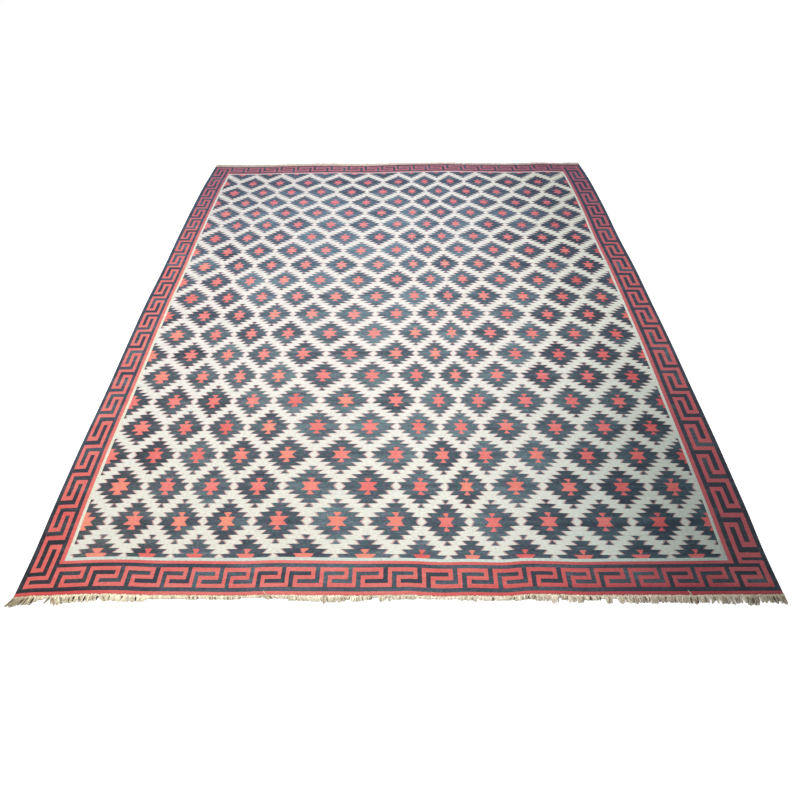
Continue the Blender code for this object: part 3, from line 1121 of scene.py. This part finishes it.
def make_cloth(material):
    """The cloth as one closed mesh: top, underside and rim on the same grid."""
    across, across_cells = across_lines()
    along, along_cells = along_lines()
    wide, long = len(across), len(along)
    spots = [grid_spot(across_line, along_line) for along_line in along for across_line in across]
    top, bottom = [], []
    for index, (s, t) in enumerate(spots):
        point = cloth_point(s, t)
        at_rim = index % wide in (0, wide - 1) or index // wide in (0, long - 1)
        drop = RIM_DROP if at_rim else 0.0
        top.append(point + Vector((0, 0, CLOTH_THICK - drop)))
        bottom.append(point + Vector((0, 0, drop)))
    faces, corners, zones = [], [], []

    def add_face(places, cell):
        """A face by (grid index, is top) places, with the grid places kept for its UV maps."""
        faces.append([index + (0 if is_top else wide * long) for index, is_top in places])
        corners.append(([index for index, _ in places], cell))
        zones.append(ZONES[zone_of(across_cells[cell[0]], along_cells[cell[1]])[0]])

    for j in range(long - 1):
        for i in range(wide - 1):
            a = j * wide + i
            square = (a, a + 1, a + wide + 1, a + wide)
            add_face([(index, True) for index in square], (i, j))
            add_face([(index, False) for index in reversed(square)], (i, j))
    rim = []
    for i in range(wide - 1):
        far = (long - 1) * wide + i
        rim += [(i, i + 1, (i, 0)), (far + 1, far, (i, long - 2))]
    for j in range(long - 1):
        left, right = j * wide, (j + 1) * wide - 1
        rim += [(left + wide, left, (0, j)), (right, right + wide, (wide - 2, j))]
    for a, b, cell in rim:
        add_face([(a, False), (b, False), (b, True), (a, True)], cell)

    field, key, bake = [], [], []
    xs, ys = [point.x for point in top], [point.y for point in top]
    low_x, low_y = min(xs), min(ys)
    size_x, size_y = max(xs) - low_x, max(ys) - low_y
    for indices, cell in corners:
        name, border = zone_of(across_cells[cell[0]], along_cells[cell[1]])
        for index in indices:
            i, j = index % wide, index // wide
            field += [across[i][1], along[j][1]]
            if name == "key":
                lines_in = {"near": j, "far": long - 1 - j, "left": i, "right": wide - 1 - i}[border]
                key += key_coordinates(border, *spots[index], lines_in)
            else:
                key += [0.0, 0.0]
            bake += [(xs[index] - low_x) / size_x, (ys[index] - low_y) / size_y]
    uvs = {"Field": field, "Key": key, "OFBake": bake}
    mesh = new_mesh("rug_cloth", top + bottom, faces, material, uvs, "FACE", {"zone": zones})
    mesh.set_sharp_from_angle(angle=math.radians(SHARP_ANGLE))
    mesh.validate()
    cloth = new_object("rug_cloth", mesh)
    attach(cloth, "root")
    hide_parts("rug")
    return cloth


Tuft = namedtuple("Tuft", "start stop length lean tip_width shade gap red")
Lock = namedtuple("Lock", "start stop length lean root_shade shade dark red swing phase felted")


class Tubes:
    """Gathers many thin tubes into one mesh, with the twist's UV map and values for each tube."""

    def __init__(self):
        self.points, self.faces, self.uvs = [], [], []
        self.values = {"shade": [], "dark": [], "red": []}

    def add(self, path, radii, shades, darks=None, reds=None, sides=STRAND_SIDES):
        """One tube along a path, with a radius, shade, darkness and redness at each of its points."""
        first = len(self.points)
        lengths = [0.0]
        for a, b in zip(path, path[1:]):
            lengths.append(lengths[-1] + (b - a).length)
        for step, (point, radius) in enumerate(zip(path, radii)):
            ahead = path[min(step + 1, len(path) - 1)] - path[max(step - 1, 0)]
            sideways = ahead.cross(Vector((0, 0, 1))).normalized()
            upward = sideways.cross(ahead).normalized()
            for side in range(sides):
                angle = 2 * math.pi * side / sides
                offset = sideways * math.cos(angle) + upward * math.sin(angle)
                self.points.append(point + offset * radius)
        plain = [0.0] * len(path)
        for name, values in (("shade", shades), ("dark", darks or plain), ("red", reds or plain)):
            for value in values:
                self.values[name] += [min(max(value, 0.0), 1.0)] * sides
        for step in range(len(path) - 1):
            for side in range(sides):
                after = (side + 1) % sides
                ring = first + step * sides
                self.faces.append([ring + side, ring + after, ring + sides + after, ring + sides + side])
                low, high = lengths[step] / MM, lengths[step + 1] / MM
                start, end = side / sides, (side + 1) / sides
                self.uvs += [start, low, end, low, end, high, start, high]
        for ring, order in ((first, -1), (first + (len(path) - 1) * sides, 1)):
            self.faces.append([ring + side for side in range(sides)][::order])
            self.uvs += [0.5, 0.0] * sides

    def to_object(self, name, material):
        """The tubes as one piece that rides on the rug."""
        mesh = new_mesh(name, self.points, self.faces, material, {"Yarn": self.uvs}, "POINT", self.values)
        obj = new_object(name, mesh)
        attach(obj, "root")
        return obj


def edge_at(end, s, outward=0.0):
    """A point on the floor by the cloth's edge at one end, moved outward from it."""
    point = cloth_point(s, 0.0 if end == "near" else 1.0)
    way = -1 if end == "near" else 1
    return Vector((point.x, point.y + way * outward, point.z))


def near_tufts():
    """Tufts of the near fringe, each from where the last one ends, if it doesn't lap over that one."""
    tufts = []
    end = 0
    for number, (stop, length, tip_width, shade, gap_shade_and_dirt, red, *lean) in enumerate(NEAR_TUFTS):
        start = NEAR_LAPS.get(number, end)
        shares = (value / 100 for value in (tip_width, shade, gap_shade_and_dirt, red))
        tufts.append(Tuft(start / PARTS, stop / PARTS, length, lean[0] if lean else 0, *shares))
        end = stop
    return tufts


def far_tufts(seed):
    """Tufts of the far fringe: all of one width, with the table's length, lean and shade varied a little."""
    rng = random.Random(seed)
    tufts = []
    for tuft in range(FAR_TUFT_COUNT):
        start, end = tuft / FAR_TUFT_COUNT, (tuft + 1) / FAR_TUFT_COUNT
        middle = (start + end) / 2
        length, lean, shade = (from_table(FAR_FRINGE, middle, column) for column in (1, 2, 3))
        length *= rng.uniform(*FAR_LENGTHS)
        shade = min(max(shade + rng.uniform(*FAR_SHADES), 0.0), 1.0)
        tip_width, gap_shade_and_dirt = rng.uniform(*FAR_TIP_WIDTHS), rng.uniform(*FAR_GAP_SHADE_AND_DIRT)
        tufts.append(Tuft(start, end, length, lean, tip_width, shade, gap_shade_and_dirt, FAR_RED))
    return tufts


def share_of_full(length):
    """How long a lock is as a share of the full length, at most 1."""
    return min(1.0, length / FULL_LENGTH)


def locks_of(tuft, rng):
    """The locks into which a tuft parts, each with a length, lean, shade and curl of its own."""
    start, stop, length, lean, tip_width, shade, gap_shade_and_dirt, red = tuft
    count = max(1, round((stop - start) * RUG_WIDTH / LOCK_WIDTH))
    step = (stop - start) / count
    short = share_of_full(length)
    felted = eased((start - FELTED_FROM) / 0.25)
    sway = (2.2 + 1.8 * felted) * short
    locks = []
    for index in range(count):
        off = (index + 0.5) / count - 0.5
        pull = (tip_width - 1) * off * (stop - start) * RUG_WIDTH / MM
        rounding = 1 - 0.30 * (1.3 - tip_width) * (2 * off) ** 2
        locks.append(Lock(
            start=start + step * index,
            stop=start + step * (index + 1),
            length=length * rounding * rng.uniform(*LOCK_LENGTHS),
            lean=lean + pull + rng.uniform(-sway, sway),
            root_shade=shade + 0.10,
            shade=shade + rng.uniform(*LOCK_SHADES),
            dark=0.0,
            red=red * 2 if rng.random() < 0.5 else 0.0,
            swing=rng.uniform(*LOCK_SWINGS) * short,
            phase=rng.uniform(0, 2 * math.pi),
            felted=felted,
        ))
    # After the tuft, a dark lock on top of the pile: painted shadow and dirt in the gap
    if gap_shade_and_dirt > 0.15:
        half = (0.7 + 1.6 * gap_shade_and_dirt) * MM / RUG_WIDTH
        middle = min(stop, 1 - half)
        locks.append(locks[-1]._replace(
            start=middle - half,
            stop=middle + half,
            length=length * rng.uniform(*GAP_LENGTHS),
            lean=lean + rng.uniform(-3.0, 3.0) * short,
            dark=gap_shade_and_dirt,
        ))
    return locks


def add_strand(tubes, rng, end, lock, u, level):
    """One strand of a lock: u from 0 to 1 across the lock, level from 0 on the floor to 1 on top."""
    way = -1 if end == "near" else 1
    off = (u - 0.5) * (lock.stop - lock.start) * RUG_WIDTH
    over_share, furthest_in = OVER_EDGE[end]
    over_edge = rng.random() < over_share and not lock.dark
    outward = PART_GAP + HEADING_WIDTH * rng.uniform(0.2, 0.6)
    if over_edge:
        outward = rng.uniform(-furthest_in, 0.2) * MM
    root = edge_at(end, lock.start + (lock.stop - lock.start) * u, outward)
    reach = lock.length * MM * (1 - 0.12 * (2 * u - 1) ** 2) * rng.uniform(*STRAND_LENGTHS)
    reach += PART_GAP + HEADING_WIDTH - outward
    on_cloth = max(0.0, -outward) / reach
    stray = (0.5 + 2.2 * lock.felted) * MM * share_of_full(lock.length)
    side = -0.30 * off + lock.lean * MM + rng.uniform(-stray, stray)
    swing = lock.swing * MM * (1 + 0.8 * lock.felted)
    phase = lock.phase + rng.uniform(-0.5, 0.5) * (1 + 3 * lock.felted)
    radius = STRAND_RADIUS * rng.uniform(*STRAND_WIDTHS)
    start_z = root.z + (CLOTH_THICK if over_edge else (1.2 + level * 1.4) * MM)
    crown = PILE_HEIGHT * level * (1 - (2 * u - 1) ** 2 * 0.6) * share_of_full(lock.length)
    # strands low in the pile are darker: painted shade
    shade = lock.shade + rng.uniform(*STRAND_SHADES) - 0.24 * (1 - level) ** 2
    red = 1.0 if rng.random() < lock.red else 0.0
    red_at = rng.uniform(0.3, 1.0)
    steps = STRAND_STEPS if lock.length > SHORT_LENGTH else SHORT_STEPS
    path, radii, shades, darks, reds = [], [], [], [], []
    for step in range(steps + 1):
        f = step / steps
        x = root.x + side * f**1.3 + swing * math.sin(phase + 5.2 * f) * f
        y = root.y + way * reach * f
        rest = radius + crown * math.sin(math.pi * min(f * 0.85 + 0.15, 1.0)) + 0.5 * MM * level
        z = start_z + (rest - start_z) * eased((f - on_cloth) * 2.2)
        path.append(Vector((x, y, max(z, radius))))
        radii.append(radius * (1 - 0.5 * f**3))
        shades.append(lock.root_shade + (shade - lock.root_shade) * eased(f * 2.5))
        # the dark lock's painted shadow and dirt, from a little way out
        darks.append(lock.dark * eased((f - 0.12) * 4))
        reds.append(red * eased(1.6 - abs(f - red_at) * 4))
    tubes.add(path, radii, shades, darks, reds)


def add_loose_ends(tubes):
    """Single warp ends that lie back over the near edge of the cloth."""
    for tip_s, tip_t, edge_s, red in LOOSE_ENDS:
        tip = cloth_point(tip_s, tip_t)
        root = edge_at("near", edge_s, HEADING_WIDTH)
        path = []
        for step in range(STRAND_STEPS + 1):
            f = step / STRAND_STEPS
            point = root.lerp(tip, f)
            point.x += 0.8 * MM * math.sin(5.0 * f)
            point.z += CLOTH_THICK + STRAND_RADIUS
            path.append(point)
        count = len(path)
        tubes.add(path, [STRAND_RADIUS * 0.8] * count, [0.80] * count, reds=[red] * count)


def make_fringe(end, tufts, seed, material):
    """Warp ends left at one end: soft plied strands that lie in tufts on the floor."""
    rng = random.Random(seed)
    tubes = Tubes()
    if end == "near":
        add_loose_ends(tubes)
    for tuft in tufts:
        for lock in locks_of(tuft, rng):
            width = (lock.stop - lock.start) * RUG_WIDTH
            count = max(3, round(width / STRAND_PITCH[end]))
            for strand in range(count):
                u = min(max((strand + rng.uniform(0.0, 1.0)) / count, 0.002), 0.998)
                # dark locks of painted shadow and dirt lie on top of the pile
                add_strand(tubes, rng, end, lock, u, 1.25 if lock.dark else rng.random())
    fringe = tubes.to_object("fringe_" + end + "_strands", material)
    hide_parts("fringe_" + end)
    return fringe


def make_heading(end, seed, material):
    """The plain heading between the cloth and the fringe: rows of twined cord along the edge."""
    rng = random.Random(seed)
    tubes = Tubes()
    for cord in range(HEADING_CORDS):
        phase = rng.uniform(0, 2 * math.pi)
        outward = PART_GAP + CORD_RADIUS + (HEADING_WIDTH - 2 * CORD_RADIUS) * cord / (HEADING_CORDS - 1)
        path = []
        for step in range(HEADING_STEPS + 1):
            s = HEADING_INSET + (1 - 2 * HEADING_INSET) * step / HEADING_STEPS
            wobble = 0.35 * MM * math.sin(phase + step * 0.9) + 0.3 * MM * math.sin(step * 0.23 + cord)
            point = edge_at(end, s, outward + wobble)
            point.z += CORD_RADIUS + 0.5 * MM * (1 + math.sin(step * 1.3 + cord * 2))
            path.append(point)
        tubes.add(path, [CORD_RADIUS] * len(path), [rng.uniform(0.6, 0.9)] * len(path), sides=6)
    return tubes.to_object("heading_" + end, material)


def make_floor():
    """A plain pale studio floor."""
    material, _, shader = new_material("studio_floor", roughness=1.0, sheen=0.0)
    shader.inputs["Base Color"].default_value = (FLOOR_GREY, FLOOR_GREY, FLOOR_GREY, 1.0)
    bpy.ops.mesh.primitive_circle_add(
        vertices=FLOOR_SIDES, radius=FLOOR_RADIUS, fill_type="NGON", location=(0, 0, -FLOOR_DROP)
    )
    floor = bpy.context.object
    floor.name = "studio_floor"
    floor.data.materials.append(material)


def make_lights():
    """Soft white surroundings and one wide lamp over the rug."""
    world = bpy.data.worlds.new("studio")
    bpy.context.scene.world = world
    world.use_nodes = True
    background = world.node_tree.nodes["Background"]
    background.inputs["Color"].default_value = (1.0, 1.0, 1.0, 1.0)
    background.inputs["Strength"].default_value = WORLD_LIGHT

    lamp_data = bpy.data.lights.new("key_light", "AREA")
    lamp_data.shape = "SQUARE"
    lamp_data.size = LAMP_SIZE
    lamp_data.energy = LAMP_POWER
    lamp = new_object("key_light", lamp_data)
    lamp.location = LAMP_PLACE
    lamp.visible_camera = False
    bpy.context.scene.view_settings.view_transform = "Standard"


def make_camera():
    """The camera at the photograph's place over the near end, looking down along the rug."""
    camera_data = bpy.data.cameras.new("camera")
    camera_data.lens = CAMERA_LENS
    camera_data.sensor_width = SENSOR_WIDTH
    camera = new_object("camera", camera_data)
    place = Vector(CAMERA_PLACE) + Vector((SHIFT_X, SHIFT_Y, 0.0))
    turn = Euler((math.radians(90 - CAMERA_PITCH), 0.0, -math.radians(CAMERA_YAW)), "XYZ").to_matrix()
    roll = Matrix.Rotation(math.radians(CAMERA_ROLL), 3, "Z")
    camera.matrix_world = Matrix.Translation(place) @ (turn @ roll).to_4x4()
    bpy.context.scene.camera = camera


make_camera()
make_lights()
make_floor()
woven = woven_cotton()
warp = fringe_cotton()
cloth = make_cloth(woven)
ends = [
    make_fringe("near", near_tufts(), SEEDS["near fringe"], warp),
    make_fringe("far", far_tufts(SEEDS["far tufts"]), SEEDS["far fringe"], warp),
    make_heading("near", SEEDS["near heading"], warp),
    make_heading("far", SEEDS["far heading"], warp),
]
